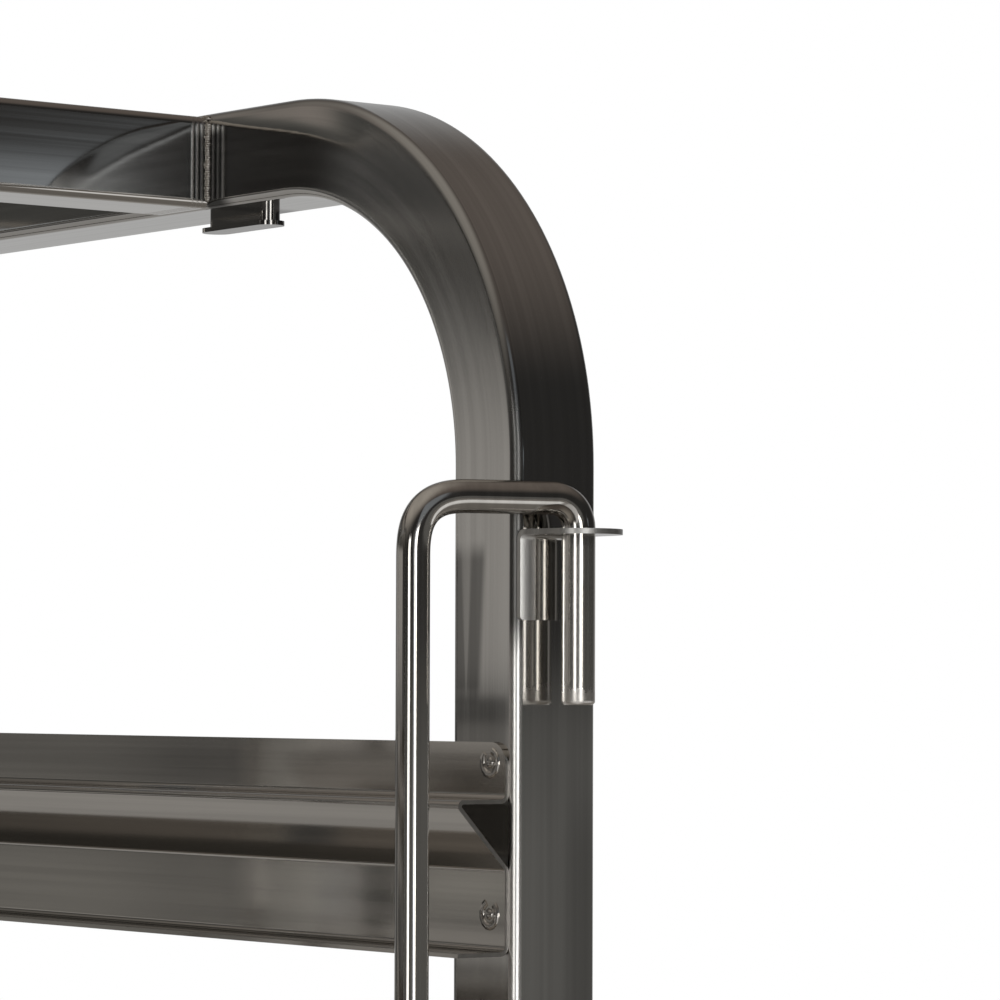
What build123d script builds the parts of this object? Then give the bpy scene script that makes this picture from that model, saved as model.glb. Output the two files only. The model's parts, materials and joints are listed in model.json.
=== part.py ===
from build123d import *
import math
import os

# Gastronorm pan rack: two bent tube hoops, cross tubes, folded runners with two ledges each,
# a swing rod at each end that keeps the pans in, and four swivel castors.
# Millimetres, +Z up, front towards -Y, origin on the floor under the middle of the rack.

# Overall
rack_height = 1450.0
rack_depth = 550.0
bay_width = 335.0             # between the inner faces of the hoops, for pans 325 wide

# Square tube of hoops and rails
tube_size = 25.0
tube_wall = 1.2
tube_corner = 2.2
hoop_bend_radius = 84.5       # at the middle of the tube

# Cross tubes, flush with the underside of what they join
cross_tube_height = 24.0
cross_tube_setback = 131.0    # from the rack's front or rear face to the tube's near face
rail_lift = 35.0              # bottom rails above the ends of the legs

# Runners
sheet = 1.0
runner_pitch = 75.0           # from one runner to the next
level_pitch = 36.0            # between the two ledges of a runner
ledge_width = 15.0
upper_flange = 13.5           # above the first ledge
web_angle = 46.5              # between the first ledge and the slanted web, in degrees
runner_bend = 2.4             # outside radius
ledge_tip_bend = 0.5          # inside radius
runner_corner = 5.5
runner_setback = 2.2          # runner ends behind the faces of the legs
first_ledge_drop = 79.4       # first ledge below the start of the hoop's bend
lowest_ledge_gap = 75.0       # least height of a ledge above the bottom rails

# Retaining rods
rod_diameter = 8.0
rod_clearance = 0.08          # rod in the holes of its brackets, on the radius
rod_reach = 42.8              # from the rod's turning axis to its long leg
rod_rest_angle = 13.0         # the arm leans in past the line of the front face, in degrees
rod_leg_bend = 11.5
rod_pin_bend = 7.0
rod_pin_length = 41.6         # below the tongue's top
rod_end_chamfer = 0.6
rod_seat_gap = 0.3            # start of the pin's bend above the tongue

# Rod brackets
bracket_sheet = 1.3
bracket_bend = 1.2            # inside radius of the fold
tongue_radius = 10.5
plate_width = 22.0
plate_shift = 1.0             # off the leg's middle, towards the bay
plate_height = 21.5
plate_corner = 1.0
rod_offset = 8.3              # rod axis in front of the leg
upper_tongue_drop = 15.4      # below the start of the hoop's bend
lower_tongue_lift = 105.0     # above the ends of the legs

# Hook strips under the top joints
strip_sheet = 1.2
strip_width = 8.0
strip_length = 32.0
strip_drop = 4.7              # underside of the strip below the tube
strip_lead = 14.1             # the strip's outer end ahead of the cross tube
neck_width = 5.6
strip_nose = 1.2              # the strip's overhang past its neck, at the outer end
strip_tip = 2.8               # and at the inner end

# Castors
castor_height = 160.0
castor_trail = 38.0
tyre_clearance = 16.2         # between the tyre and the fork's plate
tyre_width = 32.0
tyre_thickness = 16.5
tyre_shoulder = 7.0
tyre_bead = 2.0               # the tyre's sides draw in to the hub by this much
hub_rim = 6.0
hub_web = 8.0
hub_boss_diameter = 22.0
axle_diameter = 10.0
axle_head_height = 5.0
axle_head_across = 16.0
running_clearance = 0.05      # axle, king pin and pedal pins in their holes, on the radius
side_clearance = 0.3          # flat faces that turn past each other
fork_sheet = 2.5
fork_gap = 34.6               # between the fork's legs
crown_diameter = 46.0
crown_height = 12.0
crown_round = 3.0
fork_foot_radius = 14.0
fork_nose = 18.0              # the fork's plate ahead of the swivel axis
fork_tail = 46.0              # and behind it
plug_clearance = 0.3
plug_length = 30.0
stem_flange = 4.0
king_pin_diameter = 12.0
king_nut_across = 18.0
king_nut_height = 8.0

# Brake pedals
pedal_pin_diameter = 6.0
pedal_pin_tail = 36.0         # behind the swivel axis
pedal_pin_drop = 6.0          # below the fork's plate
pedal_side_gap = 2.5
pedal_sheet = 3.0
pedal_boss = 1.5              # metal round the pin
pedal_length = 58.0
pedal_slope = 14.0            # the pedal's slope down, in degrees
tread_length = 18.0
tread_height = 2.5
tread_round = 1.0
shoe_start = 20.0
shoe_length = 12.0
shoe_gap = 4.0                # between the shoe and the tyre when the brake is off

# Places worked out from the sizes above
half_bay = bay_width / 2
half_depth = rack_depth / 2
leg_x = half_bay + tube_size / 2
leg_y = half_depth - tube_size / 2
bend_start = rack_height - hoop_bend_radius - tube_size / 2
rail_bottom = castor_height + rail_lift
rail_top = rail_bottom + tube_size
first_ledge = bend_start - first_ledge_drop
lowest_ledge = rail_top + lowest_ledge_gap
runner_count = int((first_ledge - level_pitch - lowest_ledge) / runner_pitch) + 1
cross_tube_y = half_depth - cross_tube_setback - tube_size / 2
rod_axis_y = -half_depth - rod_offset
upper_tongue = bend_start - upper_tongue_drop
lower_tongue = castor_height + lower_tongue_lift
rod_arm_rise = rod_pin_bend + rod_seat_gap
rod_hole_radius = rod_diameter / 2 + rod_clearance
crown_top = castor_height - stem_flange - side_clearance
fork_plate_top = crown_top - crown_height
fork_plate_bottom = fork_plate_top - fork_sheet
wheel_radius = (fork_plate_bottom - tyre_clearance) / 2
hub_radius = wheel_radius - tyre_thickness
fork_width = fork_gap + 2 * fork_sheet
pedal_pin_height = fork_plate_bottom - pedal_pin_drop


def tube_outline(width, height, inset=0.0):
    """Rounded outline of a tube about its middle, or of its bore when inset by the wall."""
    return RectangleRounded(width - 2 * inset, height - 2 * inset, tube_corner - inset)


def straight_tube(start, width, height, length):
    """Tube from a plane along that plane's normal."""
    section = tube_outline(width, height) - tube_outline(width, height, tube_wall)
    return extrude(start * section, amount=length)


def folded_sheet(points, radii, thickness):
    """Edge of a folded sheet as a flat face: the line is one side of it, the other lies to its left."""
    line = FilletPolyline(*points, radius=radii)
    return make_face(offset(line, amount=thickness, side=Side.LEFT, closed=True).edges())


def hoop(side):
    """Side frame bent from one tube, open at the ends of its legs."""
    x = side * leg_x
    top = rack_height - tube_size / 2
    route = FilletPolyline(
        (x, -leg_y, castor_height), (x, -leg_y, top), (x, leg_y, top), (x, leg_y, castor_height),
        radius=hoop_bend_radius,
    )
    foot = Plane((x, -leg_y, castor_height))
    outside = sweep(foot * tube_outline(tube_size, tube_size), path=route)
    return outside - sweep(foot * tube_outline(tube_size, tube_size, tube_wall), path=route)


def cross_tube(end, bottom):
    """Tube along X between the two sides, near the front (-1) or the rear (+1)."""
    middle = (-half_bay, end * cross_tube_y, bottom + cross_tube_height / 2)
    start = Plane(middle, x_dir=(0, 1, 0), z_dir=(1, 0, 0))
    return straight_tube(start, tube_size, cross_tube_height, bay_width)


def side_rail(side):
    """Tube along Y between the two legs of a hoop."""
    length = rack_depth - 2 * tube_size
    middle = (side * leg_x, -length / 2, rail_bottom + tube_size / 2)
    start = Plane(middle, x_dir=(1, 0, 0), z_dir=(0, 1, 0))
    return straight_tube(start, tube_size, tube_size, length)


def runner(side, upper_ledge):
    """Folded sheet with two ledges, given the height of the upper ledge's top face."""
    lower_ledge = upper_ledge - level_pitch
    web = math.radians(web_angle)
    fold = ledge_width - sheet + ledge_tip_bend * (1 / math.tan(web / 2) - 1)
    web_foot = upper_ledge - sheet - fold * math.tan(web)
    points = [
        (0, upper_ledge + upper_flange),
        (0, upper_ledge - sheet),
        (fold, upper_ledge - sheet),
        (0, web_foot),
        (0, lower_ledge - sheet),
        (ledge_width, lower_ledge - sheet),
    ]
    profile = folded_sheet(points, [runner_bend, ledge_tip_bend, runner_bend, runner_bend], sheet)
    length = rack_depth - 2 * runner_setback
    start = Plane((half_bay, -length / 2, 0), x_dir=(-1, 0, 0), z_dir=(0, 1, 0))
    solid = extrude(start * profile, amount=length)
    top_corners = solid.edges().filter_by(Axis.X).group_by(Axis.Z)[-1]
    solid = fillet(top_corners, runner_corner)
    return solid if side > 0 else mirror(solid, about=Plane.YZ)


def runner_pair(step):
    """Left and right runner of one step down the legs."""
    upper_ledge = first_ledge - step * runner_pitch
    return Compound(children=[runner(-1, upper_ledge), runner(1, upper_ledge)])


def at_end(shape, end):
    """The front end's piece (-1), or the same piece turned half round for the rear end (+1)."""
    return shape if end < 0 else shape.rotate(Axis.Z, 180)


def rod(end):
    """Retaining rod: pin, arm, long leg, arm and pin, all in one upright plane through its turning axis."""
    upper_arm = upper_tongue + rod_arm_rise
    lower_arm = lower_tongue + rod_arm_rise
    route = FilletPolyline(
        (0, upper_tongue - rod_pin_length),
        (0, upper_arm),
        (rod_reach, upper_arm),
        (rod_reach, lower_arm),
        (0, lower_arm),
        (0, lower_tongue - rod_pin_length),
        radius=[rod_pin_bend, rod_leg_bend, rod_leg_bend, rod_pin_bend],
    )
    lean = math.radians(rod_rest_angle)
    upright = Plane(
        (leg_x, rod_axis_y, 0),
        x_dir=(-math.cos(lean), math.sin(lean), 0),
        z_dir=(math.sin(lean), math.cos(lean), 0),
    )
    section = Plane((leg_x, rod_axis_y, upper_tongue - rod_pin_length)) * Circle(rod_diameter / 2)
    solid = sweep(section, path=upright * route)
    for tongue_top in (upper_tongue, lower_tongue):
        pin_foot = tongue_top - rod_pin_length
        rims = solid.edges().filter_by_position(Axis.Z, pin_foot - rod_clearance, pin_foot + rod_clearance)
        solid = chamfer(rims, rod_end_chamfer)
    return at_end(solid, end)


def bracket(end, tongue_top):
    """Back plate on the leg, folded forward at the top into a rounded tongue with the rod's hole."""
    foot = tongue_top - plate_height
    points = [(-half_depth, foot), (-half_depth, tongue_top), (rod_axis_y - tongue_radius, tongue_top)]
    profile = folded_sheet(points, [bracket_bend + bracket_sheet], bracket_sheet)
    blank_width = plate_width + 2 * tongue_radius
    across = Plane((leg_x - blank_width / 2, 0, 0), x_dir=(0, 1, 0), z_dir=(1, 0, 0))
    blank = extrude(across * profile, amount=blank_width)
    plate_middle = (leg_x - plate_shift, -half_depth - bracket_sheet / 2)
    plate = Pos(*plate_middle) * Rectangle(plate_width, bracket_sheet)
    round_end = Pos(leg_x, rod_axis_y) * Circle(tongue_radius)
    outline = make_hull(plate.edges() + round_end.edges())
    solid = blank & extrude(Pos(0, 0, foot) * outline, amount=plate_height)
    hole = Plane((leg_x, rod_axis_y, tongue_top - 2 * bracket_sheet)) * Circle(rod_hole_radius)
    solid -= extrude(hole, amount=3 * bracket_sheet)
    plate_corners = solid.edges().filter_by(Axis.Y).group_by(Axis.Z)[0]
    return at_end(fillet(plate_corners, plate_corner), end)


def hook_strip(side, end):
    """Strip with round ends under the hoop's top run, hung from it by a shorter and narrower neck."""
    under = rack_height - tube_size
    outer_end = -half_depth + cross_tube_setback - strip_lead
    neck_length = strip_length - strip_nose - strip_tip
    strip_middle = (side * leg_x, outer_end + strip_length / 2, under - strip_drop)
    neck_middle = (side * leg_x, outer_end + strip_nose + neck_length / 2, under - strip_drop)
    strip_outline = SlotOverall(strip_length, strip_width, rotation=90)
    neck_outline = SlotOverall(neck_length, neck_width, rotation=90)
    solid = extrude(Pos(*strip_middle) * strip_outline, amount=strip_sheet)
    solid += extrude(Pos(*neck_middle) * neck_outline, amount=strip_drop)
    return solid if end < 0 else mirror(solid, about=Plane.XZ)


def castor_stem():
    """Square plug in the leg, flange under it, and the king pin with its nut that carries the fork."""
    plug_size = tube_size - 2 * tube_wall - 2 * plug_clearance
    plug = extrude(Pos(0, 0, castor_height) * Rectangle(plug_size, plug_size), amount=plug_length)
    flange = extrude(Pos(0, 0, castor_height) * tube_outline(tube_size, tube_size), amount=-stem_flange)
    nut_top = fork_plate_bottom - side_clearance
    nut_bottom = nut_top - king_nut_height
    pin_length = castor_height - stem_flange - nut_bottom
    pin = extrude(Pos(0, 0, nut_bottom) * Circle(king_pin_diameter / 2), amount=pin_length)
    hexagon = RegularPolygon(king_nut_across / 2, 6, major_radius=False)
    nut = extrude(Pos(0, 0, nut_bottom) * hexagon, amount=king_nut_height)
    return plug + flange + pin + nut


def castor_fork(braked):
    """Pressed fork: round crown over a plate, and two legs that narrow to the axle."""
    crown = extrude(Pos(0, 0, fork_plate_top) * Circle(crown_diameter / 2), amount=crown_height)
    crown = fillet(crown.edges().group_by(Axis.Z)[-1], crown_round)
    plate_length = fork_nose + fork_tail
    plate_middle = (fork_tail - fork_nose) / 2
    plate_outline = Rectangle(plate_length, fork_width)
    plate = extrude(Pos(plate_middle, 0, fork_plate_bottom) * plate_outline, amount=fork_sheet)
    top_edge = Line((-fork_nose, fork_plate_top), (fork_tail, fork_plate_top))
    foot = Pos(castor_trail, wheel_radius) * Circle(fork_foot_radius)
    leg_outline = make_hull(top_edge.edges() + foot.edges())
    fork = crown + plate
    for leg_side in (-1, 1):
        inner = leg_side * fork_gap / 2
        leg_plane = Plane((0, inner, 0), x_dir=(1, 0, 0), z_dir=(0, -1, 0))
        fork += extrude(leg_plane * leg_outline, amount=-leg_side * fork_sheet)
    fork -= extrude(Pos(0, 0, fork_plate_bottom) * Circle(king_pin_diameter / 2 + running_clearance),
                    amount=crown_top - fork_plate_bottom)
    holes = Pos(castor_trail, wheel_radius) * Circle(axle_diameter / 2 + running_clearance)
    if braked:
        holes += Pos(pedal_pin_tail, pedal_pin_height) * Circle(pedal_pin_diameter / 2 + running_clearance)
    return fork - extrude(Plane.XZ * holes, amount=fork_width / 2, both=True)


def castor_axle():
    """Bolt through both legs of the fork, with its head and nut outside them."""
    hexagon = RegularPolygon(axle_head_across / 2, 6, major_radius=False)
    centre = Plane((castor_trail, 0, wheel_radius), x_dir=(1, 0, 0), z_dir=(0, 1, 0))
    shank = extrude(centre * Circle(axle_diameter / 2), amount=fork_width / 2, both=True)
    head = extrude(centre.offset(fork_width / 2) * hexagon, amount=axle_head_height)
    nut = extrude(centre.offset(-fork_width / 2) * hexagon, amount=-axle_head_height)
    return shank + head + nut


def wheel_ring(half_outline):
    """Ring turned about the axle from half an outline: radius and distance from the wheel's middle."""
    half = make_face(half_outline)
    ring = revolve(half + mirror(half, about=Plane.XZ), axis=Axis.Y)
    return Pos(castor_trail, 0, wheel_radius) * ring


def castor_hub():
    """Wheel core: boss on the axle, web and rim."""
    bore = axle_diameter / 2 + running_clearance
    boss_half = fork_gap / 2 - side_clearance
    rim_half = tyre_width / 2 - tyre_bead
    boss = hub_boss_diameter / 2
    rim = hub_radius - hub_rim
    outline = Polyline(
        (bore, 0),
        (bore, boss_half),
        (boss, boss_half),
        (boss, hub_web / 2),
        (rim, hub_web / 2),
        (rim, rim_half),
        (hub_radius, rim_half),
        (hub_radius, 0),
        close=True,
    )
    return wheel_ring(outline)


def castor_tyre():
    """Tyre with drawn-in beads and round shoulders."""
    half = tyre_width / 2
    outline = FilletPolyline(
        (hub_radius, 0),
        (hub_radius, half - tyre_bead),
        (hub_radius + 2 * tyre_bead, half),
        (wheel_radius, half),
        (wheel_radius, 0),
        radius=[0, 0, 0, tyre_shoulder, 0], close=True,
    )
    return wheel_ring(outline)


def brake_pedal():
    """Foot lever on a pin between the fork's legs, with a shoe over the tyre and a raised tread."""
    pin_plane = Plane((pedal_pin_tail, 0, pedal_pin_height), x_dir=(1, 0, 0), z_dir=(0, -1, 0))
    half_width = fork_gap / 2 - pedal_side_gap
    boss_radius = pedal_pin_diameter / 2 + pedal_boss
    arm = Pos(pedal_length / 2, boss_radius - pedal_sheet / 2) * Rectangle(pedal_length, pedal_sheet)
    tread_rise = boss_radius + tread_height / 2
    tread = Pos(pedal_length - tread_length / 2, tread_rise) * RectangleRounded(
        tread_length, tread_height + 2 * tread_round, tread_round)
    side_view = Rotation(0, 0, -pedal_slope) * (Circle(boss_radius) + arm + tread)
    shoe_bar = Pos(shoe_start + shoe_length / 2, 0) * Rectangle(shoe_length, 2 * boss_radius)
    pedal = extrude(pin_plane * side_view, amount=half_width, both=True)
    shoe = extrude(pin_plane * (Rotation(0, 0, -pedal_slope) * shoe_bar), amount=half_width, both=True)
    round_tyre = Plane((castor_trail, 0, wheel_radius), z_dir=(0, 1, 0)) * Circle(wheel_radius + shoe_gap)
    shoe -= extrude(round_tyre, amount=fork_width, both=True)
    pin = extrude(pin_plane * Circle(pedal_pin_diameter / 2), amount=fork_width / 2, both=True)
    return pedal + shoe + pin


sides = {"left": -1, "right": 1}
ends = {"front": -1, "rear": 1}
braked_castors = {("front", "left"), ("rear", "right")}
pieces = {}

for side_name, side in sides.items():
    pieces[f"hoop_{side_name}"] = hoop(side)
    pieces[f"bottom_rail_{side_name}"] = side_rail(side)

for end_name, end in ends.items():
    pieces[f"top_cross_tube_{end_name}"] = cross_tube(end, rack_height - tube_size)
    pieces[f"bottom_cross_tube_{end_name}"] = cross_tube(end, rail_bottom)
    pieces[f"retaining_rod_{end_name}"] = rod(end)
    for level_name, tongue_top in {"upper": upper_tongue, "lower": lower_tongue}.items():
        pieces[f"rod_bracket_{end_name}_{level_name}"] = bracket(end, tongue_top)

for step in range(runner_count):
    pieces[f"runner_pair_{step + 1:02d}"] = runner_pair(step)

pieces["hook_strips"] = Compound(children=[hook_strip(s, e) for s in sides.values() for e in ends.values()])

for end_name, end in ends.items():
    for side_name, side in sides.items():
        name = f"castor_{end_name}_{side_name}"
        braked = (end_name, side_name) in braked_castors
        place = Pos(side * leg_x, end * leg_y, 0) * Rotation(0, 0, -90 * end)
        pieces[f"{name}_stem"] = place * castor_stem()
        pieces[f"{name}_fork"] = place * castor_fork(braked)
        pieces[f"{name}_axle"] = place * castor_axle()
        pieces[f"{name}_hub"] = place * castor_hub()
        pieces[f"{name}_tyre"] = place * castor_tyre()
        if braked:
            pieces[f"{name}_brake_pedal"] = place * brake_pedal()

os.makedirs("parts", exist_ok=True)
for name, shape in pieces.items():
    export_step(shape, f"parts/{name}.step")
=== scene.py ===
import json
import math

import bmesh
import bpy
from mathutils import Matrix, Vector


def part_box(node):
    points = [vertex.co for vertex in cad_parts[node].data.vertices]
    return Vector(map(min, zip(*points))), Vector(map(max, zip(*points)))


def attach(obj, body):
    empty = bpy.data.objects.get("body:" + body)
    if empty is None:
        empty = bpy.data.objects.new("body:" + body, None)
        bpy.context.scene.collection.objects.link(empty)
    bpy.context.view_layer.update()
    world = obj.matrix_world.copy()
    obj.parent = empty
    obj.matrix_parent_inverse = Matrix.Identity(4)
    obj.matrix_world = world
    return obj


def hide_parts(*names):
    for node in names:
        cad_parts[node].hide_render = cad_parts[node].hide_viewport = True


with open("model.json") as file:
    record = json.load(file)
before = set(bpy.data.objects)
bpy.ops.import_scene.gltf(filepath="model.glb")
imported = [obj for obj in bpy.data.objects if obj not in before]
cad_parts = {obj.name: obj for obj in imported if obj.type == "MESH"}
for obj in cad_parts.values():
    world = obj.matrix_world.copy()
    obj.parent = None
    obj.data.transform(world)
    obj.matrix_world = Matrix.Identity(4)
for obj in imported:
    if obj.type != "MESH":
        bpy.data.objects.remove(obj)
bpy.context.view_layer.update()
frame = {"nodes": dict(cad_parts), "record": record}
nodes = frame["nodes"]
record = frame["record"]

MM = 0.001

# Sizes of the rack in metres, read from the frame where it has them
hoop_low, hoop_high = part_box("hoop_right")
tube_size = hoop_high.x - hoop_low.x
tube_corner = 2.2 * MM
half_bay = hoop_low.x
leg_y = hoop_high.y - tube_size / 2
leg_foot = hoop_low.z
top_middle = hoop_high.z - tube_size / 2
hoop_bend_radius = 84.5 * MM
bend_start = top_middle - hoop_bend_radius
first_ledge = record["mounts"][0]["pos_m"][2]
runner_names = sorted(name for name in nodes if name.startswith("runner_pair_"))
runner_low, runner_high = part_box(runner_names[0])
runner_pitch = runner_low.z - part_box(runner_names[1])[0].z
level_pitch = 36.0 * MM
sheet = 1.0 * MM
rod_radius = 4.0 * MM
rod_reach = 42.8 * MM
rod_lean = math.radians(13.0)
rod_leg_bend = 14.4 * MM
rod_pin_bend = 7.0 * MM
rod_pin_length = 41.6 * MM
rod_arm_rise = 7.3 * MM
rod_chamfer = 0.6 * MM
tongue_radius = 10.5 * MM
joint_places = {joint["name"]: Vector(joint["pos_m"]) for joint in record["behaviour"]["joints"]}

# Camera, fitted to the photograph
camera_place = Vector((-0.47692, -1.10032, 1.29994))
camera_azimuth = math.radians(37.7811)
camera_pitch = math.radians(2.4357)
camera_roll = math.radians(0.1764)
camera_lens = 159.18
camera_sensor = 36.0


class Reading:
    """A number read at each point of a surface: arithmetic on it adds Math nodes to its sheet."""

    def __init__(self, sheet_of_nodes, socket):
        self.sheet = sheet_of_nodes
        self.socket = socket

    def __add__(self, other):
        return self.sheet.math("ADD", self, other)

    def __radd__(self, other):
        return self.sheet.math("ADD", other, self)

    def __sub__(self, other):
        return self.sheet.math("SUBTRACT", self, other)

    def __rsub__(self, other):
        return self.sheet.math("SUBTRACT", other, self)

    def __mul__(self, other):
        return self.sheet.math("MULTIPLY", self, other)

    def __rmul__(self, other):
        return self.sheet.math("MULTIPLY", other, self)

    def __truediv__(self, other):
        return self.sheet.math("DIVIDE", self, other)

    def __rtruediv__(self, other):
        return self.sheet.math("DIVIDE", other, self)


class NodeSheet:
    """A node tree under construction, every node of which comes from node()."""

    def __init__(self, tree):
        self.tree = tree
        tree.nodes.clear()

    def node(self, kind, settings=None, sockets=None, output=0):
        """Adds a node, with its settings set before its sockets, and returns one of its outputs."""
        made = self.tree.nodes.new(kind)
        for name, value in (settings or {}).items():
            setattr(made, name, value)
        for name, value in (sockets or {}).items():
            for each in value if isinstance(value, list) else [value]:
                if isinstance(each, Reading):
                    self.tree.links.new(each.socket, made.inputs[name])
                else:
                    made.inputs[name].default_value = each
        return Reading(self, made.outputs[output]) if len(made.outputs) else None

    def math(self, operation, *values):
        return self.node("ShaderNodeMath", {"operation": operation}, dict(enumerate(values)))

    def at_least(self, value, floor):
        return self.math("MAXIMUM", value, floor)

    def at_most(self, value, ceiling):
        return self.math("MINIMUM", value, ceiling)

    def step(self, value, low, high):
        """0 under low, 1 over high and smooth between, or the other way round where low is the higher."""
        limits = {"Value": value, "From Min": low, "From Max": high}
        return self.node("ShaderNodeMapRange", {"interpolation_type": "SMOOTHSTEP"}, limits)

    def band(self, value, low, high, soft, soft_high=None):
        """1 between two limits and 0 outside them. Each is the middle of an edge with a soft half width."""
        top = soft_high or soft
        return self.step(value, low - soft, low + soft) * self.step(value, high + top, high - top)

    def position(self):
        """The point's place on the rack, in millimetres, as three numbers."""
        place = self.node("ShaderNodeTexCoord", output="Object")
        scaled = self.node("ShaderNodeVectorMath", {"operation": "SCALE"}, {0: place, "Scale": 1 / MM})
        return [self.node("ShaderNodeSeparateXYZ", None, {0: scaled}, axis) for axis in "XYZ"]

    def vector(self, x, y, z):
        return self.node("ShaderNodeCombineXYZ", None, {"X": x, "Y": y, "Z": z})

    def noise(self, vector, detail=2.0, rough=0.5):
        sockets = {"Vector": vector, "Scale": 1.0, "Detail": detail, "Roughness": rough}
        return self.node("ShaderNodeTexNoise", None, sockets)

    def blend(self, first, second, share):
        """Mix of two colours."""
        return self.node("ShaderNodeMix", {"data_type": "RGBA"}, {0: share, 6: first, 7: second}, 2)

    def bump(self, height):
        """Normal of a surface raised by a height in millimetres, taken over a pixel and so free of grain."""
        return self.node("ShaderNodeBump", None, {"Distance": MM, "Filter Width": 1.0, "Height": height})

    def ray(self, kind):
        return self.node("ShaderNodeLightPath", output=f"Is {kind} Ray")


class Finish(NodeSheet):
    """A material under construction."""

    def __init__(self, name):
        self.material = bpy.data.materials.new(name)
        self.material.use_nodes = True
        super().__init__(self.material.node_tree)

    def shader(self, **sockets):
        named = {name.replace("_", " "): value for name, value in sockets.items()}
        return self.node("ShaderNodeBsdfPrincipled", None, named)

    def surface(self, **sockets):
        self.node("ShaderNodeOutputMaterial", None, {"Surface": self.shader(**sockets)})
        return self.material


class Growth(NodeSheet):
    """A Geometry Nodes tree that grows pieces on a guide mesh. Its sizes are named inputs of the tree."""

    def __init__(self, name):
        super().__init__(bpy.data.node_groups.new(name, "GeometryNodeTree"))
        self.settings = {}
        self.tree.interface.new_socket("Guide", in_out="INPUT", socket_type="NodeSocketGeometry")
        self.tree.interface.new_socket("Grown", in_out="OUTPUT", socket_type="NodeSocketGeometry")
        self.guide = self.node("NodeGroupInput", output="Guide")

    def size(self, name, value):
        """A named input of the tree, in metres, with its value for the modifier."""
        socket = self.tree.interface.new_socket(name, in_out="INPUT", socket_type="NodeSocketFloat")
        self.settings[socket.identifier] = value
        return self.node("NodeGroupInput", output=name)

    def grow(self, piece, vertices, edges, shape, material):
        """Ends the tree, runs it on a guide of points and lines, and returns the mesh as an object."""
        solid = self.node("GeometryNodeRealizeInstances", None, {"Geometry": shape})
        smooth = self.node("GeometryNodeSetShadeSmooth", None, {"Geometry": solid})
        painted = self.node("GeometryNodeSetMaterial", None, {"Geometry": smooth, "Material": material})
        self.node("NodeGroupOutput", None, {"Grown": painted})
        guide_mesh = bpy.data.meshes.new(f"{piece}_guide")
        guide_mesh.from_pydata(vertices, edges, [])
        guide = bpy.data.objects.new(f"{piece}_guide", guide_mesh)
        bpy.context.scene.collection.objects.link(guide)
        modifier = guide.modifiers.new("growth", "NODES")
        modifier.node_group = self.tree
        for identifier, value in self.settings.items():
            modifier[identifier] = value
        grown_guide = guide.evaluated_get(bpy.context.evaluated_depsgraph_get())
        grown = bpy.data.objects.new(piece, bpy.data.meshes.new_from_object(grown_guide))
        guide.modifiers.remove(modifier)
        bpy.data.objects.remove(guide)
        bpy.context.scene.collection.objects.link(grown)
        return grown


class PlainNumbers:
    """The steps of a node sheet that a mesh needs as well, on plain numbers."""

    def at_least(self, value, floor):
        return max(value, floor)

    def at_most(self, value, ceiling):
        return min(value, ceiling)

    def step(self, value, low, high):
        share = min(max((value - low) / (high - low), 0.0), 1.0)
        return share * share * (3.0 - 2.0 * share)


def side_sink(kit, through, along):
    """How far in millimetres the tube's inner side is sunk at the bend, outwards from a rising line."""
    fade_start, fade_end = 95.0, 125.0
    line_place, line_height, line_rise, line_limit = 123.5, 3.5, 0.139, 9.6
    rounded_reach = 4.0
    slope = 0.28
    sink_line = kit.at_most(line_height + (along - line_place) * line_rise, line_limit)
    sunk = kit.at_least(through - sink_line, 0.0)
    rounded = kit.at_most(sunk, rounded_reach)
    deep = rounded * rounded * (slope / rounded_reach / 2.0) + (sunk - rounded) * slope
    return deep * kit.step(along, fade_start, fade_end)


def hoop_lines(finish):
    """Distances across the bent tube, two ways, and along it round the bends, in millimetres."""
    x, y, z = finish.position()
    depth = finish.math("ABSOLUTE", y)
    corner_y = (leg_y - hoop_bend_radius) / MM
    corner_z = bend_start / MM
    radius = hoop_bend_radius / MM
    out = finish.at_least(depth - corner_y, 0.0)
    up = finish.at_least(z - corner_z, 0.0)
    outward = finish.math("SQRT", out * out + up * up) - radius
    turned = finish.math("ARCTAN2", up, out) * radius
    along = finish.at_most(z - corner_z, 0.0) + turned + finish.at_least(corner_y - depth, 0.0)
    # The rear half counts from further on, so that the marks of the front half stay there
    rear_shift = 2000.0
    return x, outward, along + finish.math("GREATER_THAN", y, 0.0) * rear_shift


def cross_tube_lines(finish):
    x, y, z = finish.position()
    return y, z, x


def rail_lines(finish):
    x, y, z = finish.position()
    return x, z, y


def rod_lines(finish):
    return finish.position()


def plain_marks(finish, across, through, along):
    """Shade of the colour, share of dull metal and relief in millimetres: none of these here."""
    return 1.0, 0.0, 0.0


def painted_leg_reflection(finish, side, through, along):
    """Painted dark reflection on the leg's inner side: a flank with a lighter wedge, and a lobe above the
    first runner.
    """
    reflection_low, reflection_high, edge_soft = -55.0, -20.0, 1.3
    wedge_middle, wedge_top_width, wedge_least_width = -6.6, 2.3, 0.4
    lobe_low, lobe_high = -78.0, -55.25
    narrowing = 0.06
    on_side = finish.step(side, 1.0, 0.5)
    from_top = along - reflection_high
    reach = finish.band(along, reflection_low, reflection_high, 3.0) * on_side
    edge = from_top * narrowing + 0.6
    flank = finish.step(through, edge + edge_soft, edge - edge_soft) * reach
    wedge_width = finish.at_least(from_top * narrowing + wedge_top_width, wedge_least_width)
    off_wedge = finish.math("ABSOLUTE", through - wedge_middle) / wedge_width
    wedge = finish.step(off_wedge, 1.3, 0.4) * reach
    lobe = finish.band(along, lobe_low, lobe_high, 2.0, 1.75) * on_side * finish.step(through, 11.0, 8.0)
    return flank * 0.58 - wedge * 0.26 + lobe * 0.42


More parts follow.
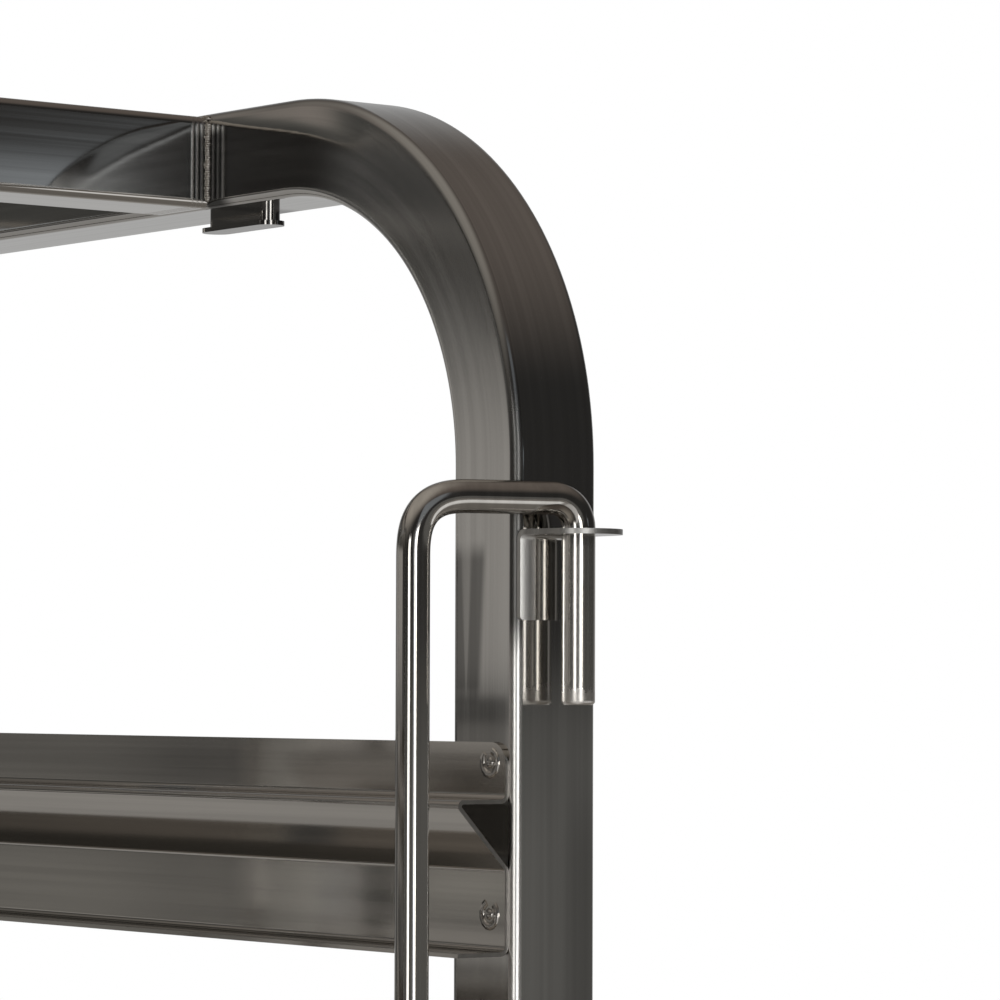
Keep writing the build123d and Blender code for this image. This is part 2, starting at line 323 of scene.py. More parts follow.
def hoop_marks(finish, across, through, along):
    """The leg's inner side has a painted dark reflection and painted shade behind the runners, and the tube's
    corners have a painted highlight and painted shade.
    """
    bracket_foot, bend_low, bend_high = -42.0, 15.0, 145.0
    rolled_low, rolled_high = 25.0, 110.0
    weld_shade_low, weld_shade_high = 158.0, 168.0
    tunnel_top, tunnel_foot = 0.9, 16.4
    side = finish.math("ABSOLUTE", across) - half_bay / MM - side_sink(finish, through, along)
    corner = finish.step(through, 10.0, 10.6) * finish.step(side, 2.4, 2.0)
    # Painted highlight on the corner below the bracket, which is also dull; between the bracket and the bend,
    # and round the bend, the corner has painted shade
    corner_highlight = corner * finish.step(along, bracket_foot + 6.0, bracket_foot - 6.0)
    shaded = corner * finish.band(along, bracket_foot, bend_low, 6.0, 15.0)
    bent = corner * finish.band(along, bend_low, bend_high, 15.0)
    rolled = finish.band(along, rolled_low, rolled_high, 15.0) * 0.35
    # Painted shade on the tube beside the weld, which is also a little dull
    painted_weld_shade = finish.band(along, weld_shade_low, weld_shade_high, 4.0, 1.0) * finish.step(through, 9.0, 6.0)
    # Painted shade on the leg behind the runners' ledges
    ledge_drop = (first_ledge - bend_start) / MM - along
    below_ledge = finish.math("FLOORED_MODULO", ledge_drop, runner_pitch / MM)
    in_tunnel = finish.band(below_ledge, tunnel_top, tunnel_foot, 0.3, 0.4)
    behind = in_tunnel * finish.step(ledge_drop, 0.0, 1.0) * finish.step(side, 0.4, 0.1)
    # Painted reflection on the leg's front below the runners: a little lighter, and darker towards its far
    # edge
    front = finish.step(through, 11.8, 12.2) * finish.step(along, -70.0, -95.0)
    far_edge = front * finish.step(side, 9.0, 21.0)
    on_side = behind * 0.35 + painted_leg_reflection(finish, side, through, along)
    on_front = far_edge * 0.3 - front * 0.1
    on_corner = shaded * 0.7 + bent * 0.3 - corner_highlight * 0.45
    dull = corner_highlight * 0.75 + shaded * 0.9 + rolled + painted_weld_shade * 0.15
    return 1.0 - on_side - on_front - on_corner - painted_weld_shade * 0.88, dull, 0.0


def cross_tube_marks(finish, across, through, along):
    """Run-out of the weld: a few fine ridges on the tube beside its ends."""
    from_end = half_bay / MM - finish.math("ABSOLUTE", along)
    ridge_places = (1.7, 3.2, 4.7)
    ridge_half_width = 0.55
    ridge_height = 0.02
    ridges = 0.0
    for place in ridge_places:
        off = (from_end - place) / ridge_half_width
        ridges = ridges + finish.at_least(1.0 - off * off, 0.0)
    return 1.0, ridges * 0.8, ridges * ridge_height


def runner_marks(finish, across, through, along):
    """The cut ends are dull, the space behind the web has painted shade and the web is shaded a little
    steeper.
    """
    web_fall, web_reach, steepening = 0.725, 0.688, 0.09
    end = runner_high.y / MM
    cut = finish.step(finish.math("ABSOLUTE", along), end - 0.2, end - 0.1)
    normal = finish.node("ShaderNodeNewGeometry", output="Normal")
    outward = finish.node("ShaderNodeSeparateXYZ", None, {0: normal}, "X") * finish.math("SIGN", across)
    upward = finish.node("ShaderNodeSeparateXYZ", None, {0: normal}, "Z")
    # Painted shade on the faces that look away from the bay, behind the web
    behind = finish.step(outward, 0.1, 0.4)
    web = finish.step(outward, -0.5, -0.65) * finish.step(upward, -0.45, -0.6)
    from_wall = half_bay / MM - finish.math("ABSOLUTE", across)
    below_ledge = finish.math("FLOORED_MODULO", first_ledge / MM - through, runner_pitch / MM)
    steeper = web * (below_ledge * web_fall - from_wall * web_reach) * steepening
    return 1.0 - cut * 0.3 - behind * 0.45, cut, steeper


def axis_distance(finish, across, through):
    """Distance from the swing axis of the rod at either end of the rack, in millimetres."""
    axis = joint_places["rod_front_swing"] / MM
    beside = finish.math("ABSOLUTE", across) - axis.x
    before = finish.math("ABSOLUTE", through) + axis.y
    return finish.math("SQRT", beside * beside + before * before)


def rod_marks(finish, across, through, along):
    """The pins are dulled by rubbing and painted lighter as a sheen, and their last few millimetres are
    painted bright as a highlight.
    """
    rim_highlight_soft = 2.2
    rubbed_sheen_start, rubbed_sheen_end = 36.0, 42.0
    near = finish.step(axis_distance(finish, across, through), 5.4, 5.0)
    ragged = finish.noise(finish.vector(across * 0.7, through * 0.7, along * 0.25), 2.0) * 9.0 - 2.0
    rim_highlight = 0.0
    rubbed_and_sheen = 0.0
    for foot in pin_feet:
        above_foot = finish.step(along, foot - 1.0, foot - 0.5)
        rim_highlight = rim_highlight + finish.step(along, ragged + foot + rim_highlight_soft, ragged + foot) * above_foot
        rubbed_and_sheen = rubbed_and_sheen + finish.step(along, foot + rubbed_sheen_end, foot + rubbed_sheen_start) * above_foot
    # Painted highlight at each pin's end, and painted sheen over the length that rubs; both are also dull
    return 1.0 + near * (rim_highlight * 0.12 + rubbed_and_sheen * 0.32), near * (rim_highlight * 0.5 + rubbed_and_sheen * 0.3), 0.0


def bracket_marks(finish, across, through, along):
    """The sawn edges, round the tongue and beside the plate, are dull, and the plate's sides are painted
    lighter as a highlight and shaded round.
    """
    rounded_reach = 5.0
    rounding = 0.055
    radius = axis_distance(finish, across, through)
    plate_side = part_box("rod_bracket_front_upper")[0].x / MM
    tongue_edge = finish.step(radius, tongue_radius / MM - 0.3, tongue_radius / MM - 0.1)
    from_side = finish.math("ABSOLUTE", across) - plate_side
    # Painted highlight: the plate's sawn side is lighter
    plate_edge = finish.step(from_side, 0.3, 0.1)
    rounded = finish.at_least(rounded_reach - from_side, 0.0)
    edge = finish.at_least(tongue_edge, plate_edge)
    return 1.0 + plate_edge * 0.3, edge, rounded * rounded * -rounding


def pin_feet_of(name):
    """Heights in millimetres of the lower ends of a rod's two pins."""
    axis = joint_places["rod_front_swing"]
    heights = [
        vertex.co.z / MM
        for vertex in nodes[name].data.vertices
        if math.hypot(vertex.co.x - axis.x, vertex.co.y - axis.y) < rod_radius * 1.1
    ]
    middle = (max(heights) + min(heights)) / 2
    return min(heights), min(height for height in heights if height > middle)


pin_feet = pin_feet_of("retaining_rod_front")


def steel(name, lines, marks, colours, roughness, grain_depth, wave_depth):
    """Stainless steel with fine grain, broad streaks, clouds and wavy walls along the given lines."""
    light, dark = colours
    dull_roughness = 0.32
    streak_depth = grain_depth * 5.0
    finish = Finish(name)
    across, through, along = lines(finish)
    shade, dull, relief = marks(finish, across, through, along)
    grain = finish.noise(finish.vector(across * 3.0, through * 3.0, along / 180.0), 2.0, 0.6)
    streak = finish.noise(finish.vector(across * 0.4, through * 0.4, along / 260.0), 2.0)
    cloud = finish.noise(finish.vector(across / 16.0, through / 16.0, along / 45.0), 2.0, 0.5)
    wave = finish.noise(finish.vector(across / 14.0, through / 14.0, along / 170.0), 0.0)
    clear_streak = finish.step(streak, 0.32, 0.68)
    tone = finish.blend(dark, light, grain * 0.25 + clear_streak * 0.5 + cloud * 0.25)
    colour = finish.node("ShaderNodeVectorMath", {"operation": "SCALE"}, {0: tone, "Scale": shade})
    polished = roughness * (0.5 + grain * 0.4 + streak * 0.3 + cloud * 0.3)
    rough = polished + dull * dull_roughness
    height = wave * wave_depth + grain * grain_depth + streak * streak_depth + relief
    return finish.surface(Base_Color=colour, Metallic=1.0, Roughness=rough, Normal=finish.bump(height))


def rubber(name, light, dark):
    """Moulded rubber with a dusty bloom."""
    finish = Finish(name)
    x, y, z = finish.position()
    fine = finish.noise(finish.vector(x * 3.0, y * 3.0, z * 3.0), 3.0, 0.6)
    dust = finish.noise(finish.vector(x / 14.0, y / 14.0, z / 14.0), 4.0, 0.6)
    colour = finish.blend(dark, light, dust * 0.7 + fine * 0.3)
    return finish.surface(Base_Color=colour, Roughness=0.5 + dust * 0.3, Normal=finish.bump(fine * 0.05))


def moulded_plastic(name, light, dark):
    """Plastic with the fine spark-eroded texture of its mould."""
    finish = Finish(name)
    x, y, z = finish.position()
    fine = finish.noise(finish.vector(x * 4.0, y * 4.0, z * 4.0), 2.0)
    patch = finish.noise(finish.vector(x / 20.0, y / 20.0, z / 20.0), 3.0)
    colour = finish.blend(dark, light, patch * 0.7 + fine * 0.3)
    return finish.surface(Base_Color=colour, Roughness=0.32 + patch * 0.2, Normal=finish.bump(fine * 0.03))


def coated_steel(name, light, dark):
    """Powder coat with its orange-peel surface."""
    finish = Finish(name)
    x, y, z = finish.position()
    peel = finish.noise(finish.vector(x * 1.2, y * 1.2, z * 1.2), 2.0)
    scuff = finish.noise(finish.vector(x / 6.0, y / 6.0, z / 6.0), 5.0, 0.7)
    colour = finish.blend(dark, light, scuff)
    return finish.surface(Base_Color=colour, Roughness=0.3 + scuff * 0.25, Normal=finish.bump(peel * 0.05))


def zinc_plate(name, light, dark):
    """Bright zinc with faint mottling."""
    finish = Finish(name)
    x, y, z = finish.position()
    spangle = finish.noise(finish.vector(x / 5.0, y / 5.0, z / 5.0), 4.0, 0.65)
    fine = finish.noise(finish.vector(x * 2.0, y * 2.0, z * 2.0), 2.0)
    colour = finish.blend(dark, light, spangle)
    rough = 0.16 + spangle * 0.2
    return finish.surface(Base_Color=colour, Metallic=1.0, Roughness=rough, Normal=finish.bump(fine * 0.01))


def weld_steel(name, light, dark):
    """Weld metal with heat tint left on it."""
    finish = Finish(name)
    x, y, z = finish.position()
    tint = finish.noise(finish.vector(x / 3.0, y / 3.0, z / 3.0), 3.0, 0.6)
    fine = finish.noise(finish.vector(x * 3.0, y * 3.0, z * 3.0), 2.0)
    colour = finish.blend(dark, light, tint)
    rough = 0.2 + tint * 0.2
    return finish.surface(Base_Color=colour, Metallic=1.0, Roughness=rough, Normal=finish.bump(fine * 0.04))


COOL_STEEL = ((0.665, 0.655, 0.635, 1.0), (0.49, 0.48, 0.465, 1.0))
WARM_STEEL = ((0.66, 0.635, 0.60, 1.0), (0.50, 0.48, 0.455, 1.0))
# Steel painted dark as shade, for the hook strips under the tube
SHADED_STEEL = ((0.36, 0.35, 0.335, 1.0), (0.22, 0.215, 0.205, 1.0))

hoop_steel = steel("hoop_steel", hoop_lines, hoop_marks, COOL_STEEL,
                   roughness=0.07, grain_depth=0.0008, wave_depth=0.08)
cross_tube_steel = steel("cross_tube_steel", cross_tube_lines, cross_tube_marks, WARM_STEEL,
                         roughness=0.05, grain_depth=0.0005, wave_depth=0.05)
rail_steel = steel("rail_steel", rail_lines, plain_marks, COOL_STEEL,
                   roughness=0.08, grain_depth=0.0008, wave_depth=0.08)
runner_steel = steel("runner_steel", rail_lines, runner_marks, WARM_STEEL,
                     roughness=0.07, grain_depth=0.0005, wave_depth=0.06)
rod_steel = steel("rod_steel", rod_lines, rod_marks, WARM_STEEL,
                  roughness=0.10, grain_depth=0.0004, wave_depth=0.0)
bracket_steel = steel("bracket_steel", rod_lines, bracket_marks, COOL_STEEL,
                      roughness=0.07, grain_depth=0.0003, wave_depth=0.03)
strip_steel = steel("strip_steel", rail_lines, plain_marks, SHADED_STEEL,
                    roughness=0.10, grain_depth=0.0008, wave_depth=0.03)
castor_zinc = zinc_plate("castor_zinc", (0.68, 0.68, 0.67, 1.0), (0.52, 0.52, 0.52, 1.0))
pedal_coat = coated_steel("pedal_coat", (0.05, 0.05, 0.052, 1.0), (0.015, 0.015, 0.016, 1.0))
hub_plastic = moulded_plastic("hub_plastic", (0.34, 0.35, 0.37, 1.0), (0.25, 0.26, 0.28, 1.0))
tyre_rubber = rubber("tyre_rubber", (0.19, 0.19, 0.195, 1.0), (0.11, 0.11, 0.115, 1.0))
weld_metal = weld_steel("weld_metal", (0.56, 0.53, 0.49, 1.0), (0.24, 0.22, 0.20, 1.0))


def finish_of(name):
    """The material of a CAD node, by what the piece is."""
    if name.startswith("hoop_"):
        return hoop_steel
    if "cross_tube" in name:
        return cross_tube_steel
    if name.startswith("bottom_rail"):
        return rail_steel
    if name.startswith("runner_pair"):
        return runner_steel
    if name.startswith("retaining_rod"):
        return rod_steel
    if name.endswith("_tyre"):
        return tyre_rubber
    if name.endswith("_hub"):
        return hub_plastic
    if name.endswith("_brake_pedal"):
        return pedal_coat
    if name.startswith("castor_"):
        return castor_zinc
    if name == "hook_strips":
        return strip_steel
    return bracket_steel


for name, node in nodes.items():
    node.data.materials.clear()
    node.data.materials.append(finish_of(name))


def tube_section():
    """Points round the square tube: each flat is held near its corners, and the inner one has more points."""
    half = tube_size / 2
    centre = half - tube_corner
    hold = 0.4 * MM
    corner_steps = 6
    inner_steps = 20
    points = []
    for quarter, (side, out) in enumerate(((1, 1), (-1, 1), (-1, -1), (1, -1))):
        arc = []
        for number in range(corner_steps + 1):
            angle = math.radians(90.0 * (quarter + number / corner_steps))
            arc.append((math.cos(angle), math.sin(angle)))
        ring = [(side * centre + tube_corner * c, out * centre + tube_corner * s) for c, s in arc]
        first, last = arc[0], arc[-1]
        before = (ring[0][0] + hold * first[1], ring[0][1] - hold * first[0])
        after = (ring[-1][0] - hold * last[1], ring[-1][1] + hold * last[0])
        points += [before, *ring, after]
        if (side, out) == (-1, 1):
            shares = [1.0 - 2.0 * number / inner_steps for number in range(1, inner_steps)]
            points += [(-half, after[1] * share) for share in shares]
    return points


def hoop_stations():
    """The hoop's middle line, foot to foot: Y, Z, the way out of the bend in both, and the distance along."""
    bend_steps = 48
    top_steps = 20
    hold = 2.0 * MM
    turn_y = leg_y - hoop_bend_radius
    leg_heights = (leg_foot, leg_foot + hold, bend_start - hold)
    front = [(-leg_y, z, -1.0, 0.0, z - bend_start) for z in leg_heights]
    for number in range(bend_steps + 1):
        angle = math.radians(90.0 * number / bend_steps)
        out, up = math.cos(angle), math.sin(angle)
        place = (-turn_y - hoop_bend_radius * out, bend_start + hoop_bend_radius * up)
        front.append((*place, -out, up, hoop_bend_radius * angle))
    bend_length = hoop_bend_radius * math.pi / 2
    for number in range(1, top_steps + 1):
        gone = hold * number
        front.append((-turn_y + gone, top_middle, 0.0, 1.0, bend_length + gone))
    rear = [(-y, z, -out, up, along) for y, z, out, up, along in reversed(front)]
    return front + rear


def swept_piece(piece, rings, material):
    """A closed mesh over rings of points, smooth along its sides and flat at its two ends, as an object."""
    count = len(rings[0])
    vertices = [point for ring in rings for point in ring]
    faces = []
    for low in range(0, len(vertices) - count, count):
        high = low + count
        for point in range(count):
            following = (point + 1) % count
            faces.append((low + point, low + following, high + following, high + point))
    faces.append(tuple(range(count)))
    faces.append(tuple(range(len(vertices) - count, len(vertices))))
    mesh = bpy.data.meshes.new(piece)
    mesh.from_pydata(vertices, [], faces)
    work = bmesh.new()
    work.from_mesh(mesh)
    bmesh.ops.recalc_face_normals(work, faces=work.faces)
    work.to_mesh(mesh)
    work.free()
    mesh.shade_smooth()
    for cap in mesh.polygons[-2:]:
        cap.use_smooth = False
    mesh.materials.append(material)
    swept = bpy.data.objects.new(piece, mesh)
    bpy.context.scene.collection.objects.link(swept)
    return swept


def make_hoop(name):
    """The bent tube with a bend finer than the CAD facets and its sunk side; it stands for the CAD hoop."""
    middle = (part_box(name)[0].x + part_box(name)[1].x) / 2
    outward = math.copysign(1.0, middle)
    numbers = PlainNumbers()
    rings = []
    for y, z, out, up, along in hoop_stations():
        ring = []
        for side, reach in tube_section():
            sink = side_sink(numbers, reach / MM, along / MM) * MM if side < 0.0 else 0.0
            ring.append((middle + outward * (side + sink), y + reach * out, z + reach * up))
        rings.append(ring)
    hoop = swept_piece(f"{name}_tube", rings, hoop_steel)
    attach(hoop, "frame")
    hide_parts(name)


def right_turn(ease):
    """Steps round a right-angle bend that takes 1 of each straight: places along and aside, and angles."""
    bend_steps = 36
    along = aside = 0.0
    turn = [(along, aside, 0.0)]
    for number in range(bend_steps):
        angles = []
        for share in (number / bend_steps, (number + 0.5) / bend_steps, (number + 1) / bend_steps):
            angles.append(math.pi / 2 * (share - ease * math.sin(math.tau * share) / math.tau))
        along += math.cos(angles[1])
        aside += math.sin(angles[1])
        turn.append((along, aside, angles[2]))
    return [(place / along, off / aside, angle) for place, off, angle in turn]


def rod_stations():
    """The rod's middle line from pin to pin: reach and height, the way in both, and the radius there."""
    hold = 0.5 * MM
    leg_ease = 0.7
    upper_tongue, lower_tongue = (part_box(f"rod_bracket_front_{level}")[1].z for level in ("upper", "lower"))
    upper_foot, lower_foot = upper_tongue - rod_pin_length, lower_tongue - rod_pin_length
    upper_arm, lower_arm = upper_tongue + rod_arm_rise, lower_tongue + rod_arm_rise
    up, over, down, back = Vector((0.0, 1.0)), Vector((1.0, 0.0)), Vector((0.0, -1.0)), Vector((-1.0, 0.0))
    turns = (
        (Vector((0.0, upper_arm)), up, over, rod_pin_bend, 0.0),
        (Vector((rod_reach, upper_arm)), over, down, rod_leg_bend, leg_ease),
        (Vector((rod_reach, lower_arm)), down, back, rod_leg_bend, leg_ease),
        (Vector((0.0, lower_arm)), back, down, rod_pin_bend, 0.0),
    )
    end_radii = ((0.0, rod_radius - rod_chamfer), (rod_chamfer, rod_radius), (rod_chamfer + hold, rod_radius))
    stations = [(Vector((0.0, upper_foot + rise)), up, radius) for rise, radius in end_radii]
    for corner, before, after, bend, ease in turns:
        start = corner - before * bend
        stations.append((start - before * hold, before, rod_radius))
        for along, aside, angle in right_turn(ease):
            way = before * math.cos(angle) + after * math.sin(angle)
            stations.append((start + (before * along + after * aside) * bend, way, rod_radius))
        stations.append((corner + after * (bend + hold), after, rod_radius))
    stations += [(Vector((0.0, lower_foot + rise)), down, radius) for rise, radius in reversed(end_radii)]
    return stations


def make_rod(end, turned):
    """The bent bar with bends finer than the CAD facets; the rear one is the front one turned half round."""
    ring_points = 40
    axis = joint_places["rod_front_swing"]
    reach_way = Vector((-math.cos(rod_lean), math.sin(rod_lean)))
    side_way = Vector((math.sin(rod_lean), math.cos(rod_lean)))
    rings = []
    for place, way, radius in rod_stations():
        ring = []
        for number in range(ring_points):
            angle = math.tau * number / ring_points
            in_plane, aside = radius * math.cos(angle), radius * math.sin(angle)
            flat = reach_way * (place.x - way.y * in_plane) + side_way * aside
            ring.append((turned * (axis.x + flat.x), turned * (axis.y + flat.y), place.y + way.x * in_plane))
        rings.append(ring)
    bar = swept_piece(f"retaining_rod_{end}_bar", rings, rod_steel)
    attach(bar, f"rod_{end}")
    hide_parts(f"retaining_rod_{end}")


def weld_lines():
    """Ends of the welds where tubes are butted: upright at both sides of each end, and one across its top."""
    flat = tube_size - 2 * tube_corner
    bead_sink = 0.5 * MM
    lines = []
    for name in nodes:
        low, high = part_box(name)
        middle = (low.z + high.z) / 2
        reach = min(flat, high.z - low.z - 2 * tube_corner) / 2
        top = high.z - bead_sink
        if "cross_tube" in name:
            lines += [((x, low.y, top), (x, high.y, top)) for x in (low.x, high.x)]
        elif name.startswith("bottom_rail"):
            lines += [((low.x, y, top), (high.x, y, top)) for y in (low.y, high.y)]
        else:
            continue
        for x in (low.x, high.x):
            lines += [((x, y, middle - reach), (x, y, middle + reach)) for y in (low.y, high.y)]
    return lines


def make_welds():
    """Beads of weld metal along the butted joints: overlapping drops on points along each line."""
    growth = Growth("weld_bead")
    spacing = growth.size("Drop spacing", 0.6 * MM)
    radius = growth.size("Drop radius", 1.0 * MM)
    line = growth.node("GeometryNodeMeshToCurve", None, {"Mesh": growth.guide})
    points = growth.node("GeometryNodeResampleCurve", {"mode": "LENGTH"}, {"Curve": line, "Length": spacing})
    drop = growth.node("GeometryNodeMeshUVSphere", None, {"Segments": 8, "Rings": 5, "Radius": radius})
    flatter, fatter = (0.75, 0.75, 0.6), (1.1, 1.1, 1.0)
    uneven = growth.node("FunctionNodeRandomValue", {"data_type": "FLOAT_VECTOR"},
                         {0: flatter, 1: fatter, "Seed": 3})
    drops = growth.node("GeometryNodeInstanceOnPoints", None,
                        {"Points": points, "Instance": drop, "Scale": uneven})
    vertices = [end for line_ends in weld_lines() for end in line_ends]
    edges = [(number, number + 1) for number in range(0, len(vertices), 2)]
    welds = growth.grow("weld_beads", vertices, edges, drops, weld_metal)
    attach(welds, "frame")


def spot_places():
    """Middles of the spot welds: one above each ledge at each end of every runner, on the flange's face."""
    above_ledge = 8.7 * MM
    behind_leg_face = 8.4 * MM
    face = half_bay - sheet
    end = leg_y + tube_size / 2 - behind_leg_face
    heights = []
    for step in range(len(runner_names)):
        upper = first_ledge - step * runner_pitch
        heights += [upper + above_ledge, upper - level_pitch + above_ledge]
    return [(x, y, z) for z in heights for x in (-face, face) for y in (-end, end)]


def make_spot_welds():
    """Open rings with a low dome inside, pressed into the runners' flanges by the welding tips."""
    growth = Growth("spot_weld")
    ring_radius = growth.size("Ring radius", 2.9 * MM)
    ring_wire = growth.size("Ring wire", 1.05 * MM)
    dome_radius = growth.size("Dome radius", 1.5 * MM)
    arc = growth.node("GeometryNodeCurveArc", None,
                      {"Resolution": 12, "Radius": ring_radius, "Sweep Angle": math.radians(300.0)})
    wire = growth.node("GeometryNodeCurvePrimitiveCircle", None, {"Resolution": 5, "Radius": ring_wire})
    ring = growth.node("GeometryNodeCurveToMesh", None,
                       {"Curve": arc, "Profile Curve": wire, "Fill Caps": True})
    dome = growth.node("GeometryNodeMeshUVSphere", None, {"Segments": 8, "Rings": 4, "Radius": dome_radius})
    mark = growth.node("GeometryNodeJoinGeometry", None, {"Geometry": [ring, dome]})
    pressed_flat = (1.0, 1.0, 0.28)
    flat_mark = growth.node("GeometryNodeTransform", None, {"Geometry": mark, "Scale": pressed_flat})
    upright = growth.node("GeometryNodeTransform", None,
                          {"Geometry": flat_mark, "Rotation": (0.0, math.pi / 2, 0.0)})
    turn = growth.node("FunctionNodeRandomValue", {"data_type": "FLOAT"}, {2: 0.0, 3: math.tau, "Seed": 5}, 1)
    roll = growth.vector(turn, 0.0, 0.0)
    marks = growth.node("GeometryNodeInstanceOnPoints", None,
                        {"Points": growth.guide, "Instance": upright, "Rotation": roll})
    spots = growth.grow("spot_welds", spot_places(), [], marks, runner_steel)
    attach(spots, "frame")


def make_camera():
    """Camera at the photograph's place, looking along its azimuth and pitch."""
    level = math.cos(camera_pitch)
    east, north = math.sin(camera_azimuth), math.cos(camera_azimuth)
    forward = Vector((east * level, north * level, math.sin(camera_pitch)))
    flat_right = Vector((north, -east, 0.0))
    flat_up = flat_right.cross(forward)
    right = flat_right * math.cos(camera_roll) + flat_up * math.sin(camera_roll)
    up = right.cross(forward)
    turn = Matrix((right, up, -forward)).transposed()
    data = bpy.data.cameras.new("photo_camera")
    data.lens = camera_lens
    data.sensor_width = camera_sensor
    data.clip_start = 0.01
    camera = bpy.data.objects.new("photo_camera", data)
    camera.matrix_world = Matrix.Translation(camera_place) @ turn.to_4x4()
    bpy.context.scene.collection.objects.link(camera)
    bpy.context.scene.camera = camera


def direction(azimuth, elevation):
    """Unit vector: azimuth in degrees from +Y towards +X, elevation above the floor."""
    turn, rise = math.radians(azimuth), math.radians(elevation)
    return Vector((math.sin(turn) * math.cos(rise), math.cos(turn) * math.cos(rise), math.sin(rise)))


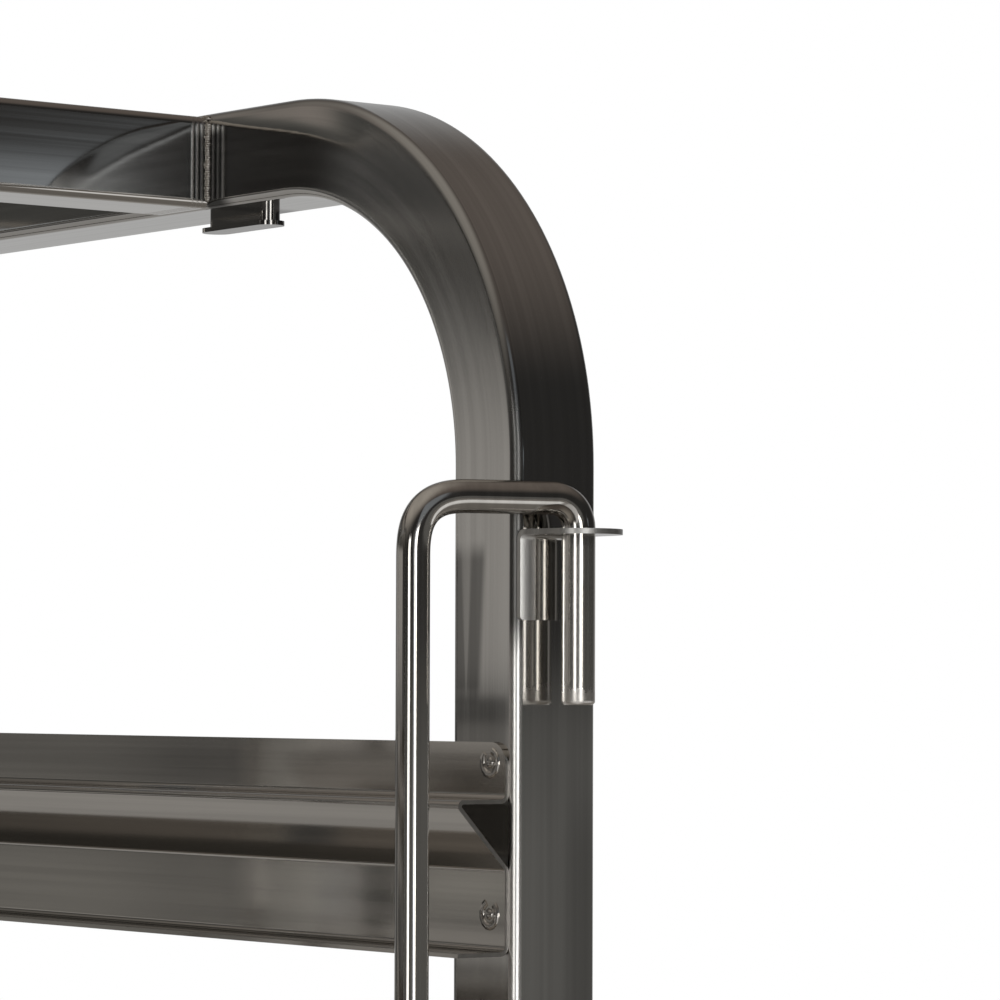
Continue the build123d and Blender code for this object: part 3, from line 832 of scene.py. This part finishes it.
def make_world():
    """Dim workshop with broad soft lights and two windows behind the camera, which sees plain white."""
    world = bpy.data.worlds.new("workshop")
    bpy.context.scene.world = world
    world.use_nodes = True
    room = NodeSheet(world.node_tree)
    way = room.node("ShaderNodeTexCoord", output="Generated")
    east, north, rise = (room.node("ShaderNodeSeparateXYZ", None, {0: way}, axis) for axis in "XYZ")
    flat_way = room.vector(east, north, 0.0)
    level_way = room.node("ShaderNodeVectorMath", {"operation": "NORMALIZE"}, {0: flat_way})

    def facing(looking, azimuth, elevation):
        sockets = {0: looking, 1: direction(azimuth, elevation)}
        return room.node("ShaderNodeVectorMath", {"operation": "DOT_PRODUCT"}, sockets, "Value")

    def glow(azimuth, elevation, spread):
        """1 in the given direction, fading to 0 at the given angle from it."""
        return room.step(facing(way, azimuth, elevation), math.cos(math.radians(spread)), 1.0)

    def patch(azimuth, half_width, low, high, soft, soft_top=None):
        """1 on an upright patch of the room between two elevations, with soft edges."""
        outer, inner = math.radians(half_width + soft), math.radians(max(half_width - soft, 0.0))
        beside = room.step(facing(level_way, azimuth, 0.0), math.cos(outer), math.cos(inner))
        top = soft_top or soft
        edges = [math.sin(math.radians(angle)) for angle in (low - soft, low + soft, high + top, high - top)]
        return beside * room.step(rise, edges[0], edges[1]) * room.step(rise, edges[2], edges[3])

    dark_wall = (0.030, 0.029, 0.028, 1.0)
    warm_ceiling = (0.152, 0.130, 0.115, 1.0)
    left_wall = (0.065, 0.064, 0.060, 1.0)
    far_ground = (0.125, 0.123, 0.117, 1.0)
    left_ground = (0.080, 0.078, 0.075, 1.0)
    ground_spot = (0.33, 0.32, 0.295, 1.0)
    lit_wall = (0.38, 0.365, 0.345, 1.0)
    soft_light = (0.42, 0.39, 0.35, 1.0)
    blue_daylight = (0.31, 0.34, 0.37, 1.0)
    high_daylight = (0.20, 0.215, 0.23, 1.0)
    rear_daylight = (0.58, 0.62, 0.66, 1.0)
    brown_beam = (0.30, 0.26, 0.235, 1.0)
    window_light = (5.0, 4.95, 4.85, 1.0)
    white = (1.0, 1.0, 1.0, 1.0)
    left = -38.0
    backdrop_share = 0.38
    below = room.step(rise, 0.012, -0.012)
    # Each part of the room with its share of a direction, the later ones in front of the earlier
    parts = (
        (warm_ceiling, room.step(rise, 0.35, 0.85)),
        (left_wall, glow(left, elevation=10.0, spread=35.0)),
        (soft_light, glow(290.0, elevation=60.0, spread=60.0)),
        (brown_beam, glow(left, elevation=33.0, spread=18.0) * 0.6),
        (far_ground, below),
        (left_ground, below * glow(left, elevation=0.0, spread=40.0)),
        (ground_spot, patch(-33.0, half_width=2.6, low=-3.5, high=-1.9, soft=0.4) * 0.25),
        (ground_spot, patch(-35.15, half_width=0.3, low=-1.6, high=-0.65, soft=0.2)),
        (ground_spot, patch(-35.3, half_width=0.35, low=-3.3, high=-2.0, soft=0.25)),
        (ground_spot, patch(-31.6, half_width=1.4, low=-7.0, high=-0.6, soft=0.8) * 0.3),
        (ground_spot, patch(-37.4, half_width=1.0, low=-3.0, high=-2.0, soft=0.3) * 0.9),
        (lit_wall, patch(left, half_width=30.0, low=-0.05, high=4.3, soft=0.2, soft_top=1.6)),
        (blue_daylight, patch(148.0, half_width=2.2, low=3.5, high=6.8, soft=0.5)),
        (high_daylight, patch(191.5, half_width=16.5, low=10.0, high=36.0, soft=3.0)),
        (rear_daylight, patch(207.3, half_width=5.35, low=-10.0, high=10.5, soft=0.2, soft_top=2.5)),
        (far_ground, patch(220.5, half_width=2.5, low=4.0, high=12.0, soft=1.0)),
        (window_light, patch(242.7, half_width=6.0, low=-25.0, high=9.0, soft=1.0) * 0.65),
        (window_light, patch(198.9, half_width=5.5, low=-25.0, high=9.0, soft=1.0)),
    )
    seen = dark_wall
    for colour, share in parts:
        seen = room.blend(seen, colour, share)
    backdrop = glow(40.0, elevation=-4.0, spread=55.0) * backdrop_share
    pale = room.ray("Camera") + (room.ray("Glossy") + room.ray("Transmission")) * backdrop
    shown = room.blend(seen, white, pale)
    background = room.node("ShaderNodeBackground", None, {"Color": shown, "Strength": 1.0})
    room.node("ShaderNodeOutputWorld", None, {"Surface": background})


def make_floor():
    """Plain floor under the castors, paler to the camera than the light on it makes it."""
    reach = 6.0
    worn_floor, clean_floor = (0.70, 0.70, 0.69, 1.0), (0.75, 0.75, 0.74, 1.0)
    near_paper, far_paper = (0.86, 0.86, 0.85, 1.0), (1.0, 1.0, 1.0, 1.0)
    corners = [(-reach, -reach, 0.0), (reach, -reach, 0.0), (reach, reach, 0.0), (-reach, reach, 0.0)]
    mesh = bpy.data.meshes.new("floor")
    mesh.from_pydata(corners, [], [(0, 1, 2, 3)])
    floor = bpy.data.objects.new("floor", mesh)
    finish = Finish("pale_floor")
    x, y, z = finish.position()
    cloud = finish.noise(finish.vector(x / 300.0, y / 300.0, z), 2.0)
    colour = finish.blend(worn_floor, clean_floor, cloud)
    lit = finish.shader(Base_Color=colour, Roughness=0.7 + cloud * 0.1)
    far = finish.step(finish.math("SQRT", x * x + y * y), 1300.0, 5200.0)
    paper = finish.blend(near_paper, far_paper, far)
    pale = finish.node("ShaderNodeEmission", None, {"Color": paper, "Strength": 1.0})
    # Painted light and shade on the floor as mirrors see it: a sunlit strip, a lighter open floor, and shade
    # elsewhere in front of the rack
    sunlit = finish.step(x, 400.0, 700.0) * finish.band(y, -3300.0, -1700.0, 300.0, 200.0)
    open_floor = finish.step(x, 450.0, 150.0) * finish.step(y, 1200.0, 700.0)
    shaded = finish.step(y, 1200.0, 400.0) * (1.0 - open_floor)
    mirrored = finish.at_most(0.22 + open_floor * 0.28 - shaded * 0.18 + sunlit * 0.92, 1.0)
    shown = finish.ray("Camera") * (0.7 + far * 0.3)
    share = shown + (finish.ray("Glossy") + finish.ray("Transmission")) * mirrored
    mixed = finish.node("ShaderNodeMixShader", None, {0: share, 1: lit, 2: pale})
    finish.node("ShaderNodeOutputMaterial", None, {"Surface": mixed})
    mesh.materials.append(finish.material)
    bpy.context.scene.collection.objects.link(floor)


make_hoop("hoop_left")
make_hoop("hoop_right")
make_rod("front", 1)
make_rod("rear", -1)
make_welds()
make_spot_welds()
make_camera()
make_world()
make_floor()
bpy.context.scene.view_settings.view_transform = "Standard"
